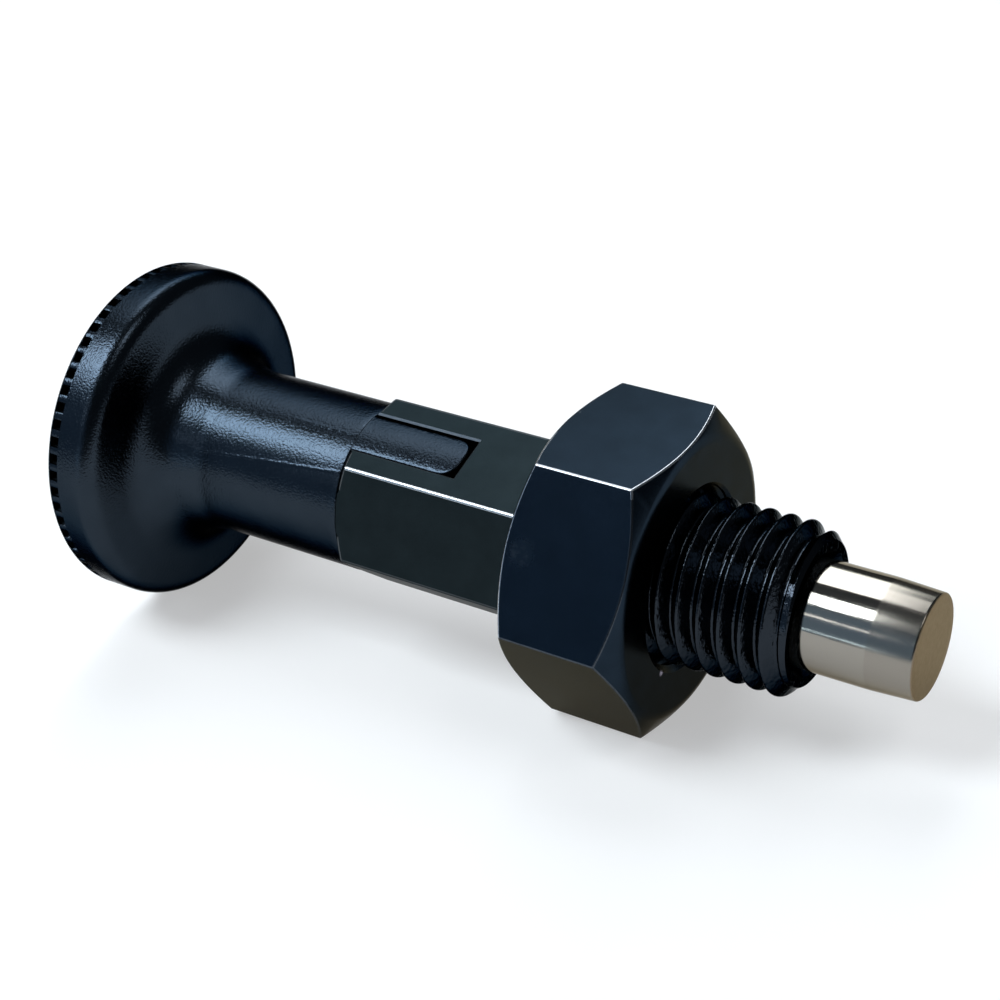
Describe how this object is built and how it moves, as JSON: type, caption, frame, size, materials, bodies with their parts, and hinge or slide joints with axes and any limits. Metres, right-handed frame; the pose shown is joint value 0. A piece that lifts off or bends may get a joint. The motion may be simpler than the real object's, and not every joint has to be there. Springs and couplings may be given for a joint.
{
  "type": "indexing plunger",
  "caption": "Spring-loaded indexing plunger with a threaded guide body, lock nut, steel locking pin and mushroom knob with a rest position.",
  "frame": {"origin": "on the plunger's axis, at the shoulder where the hexagon meets the thread", "axes": "+X along the axis, out of the pin's nose; +Z is the normal of the lock nut's top flat, and the plunger lies on its side"},
  "size_m": [0.0532, 0.0212, 0.0212],
  "materials": {
    "blackened_steel": "blackened steel, satin flats and glossy oiled thread",
    "blackened_nut": "blackened steel, glossy with bright worn edges",
    "stainless_pin": "ground stainless steel",
    "black_plastic": "fine-grained black polyamide",
    "spring_wire": "drawn spring wire"
  },
  "bodies": {
    "body": {"guide_body": "blackened_steel", "spring": "spring_wire"},
    "plunger": {"plunger_pin": "stainless_pin", "knob": "black_plastic"},
    "nut": {"lock_nut": "blackened_nut"}
  },
  "joints": [
    {"name": "pull", "type": "slide", "parent": "body", "child": "plunger", "axis": [-1, 0, 0], "range_m": [0, 0.0075], "stiffness_N_per_m": 1200, "springref_m": -0.005, "deforming": ["spring"]},
    {"name": "nut_travel", "type": "slide", "parent": "body", "child": "nut", "axis": [1, 0, 0], "range_m": [0, 0.0065]}
  ]
}
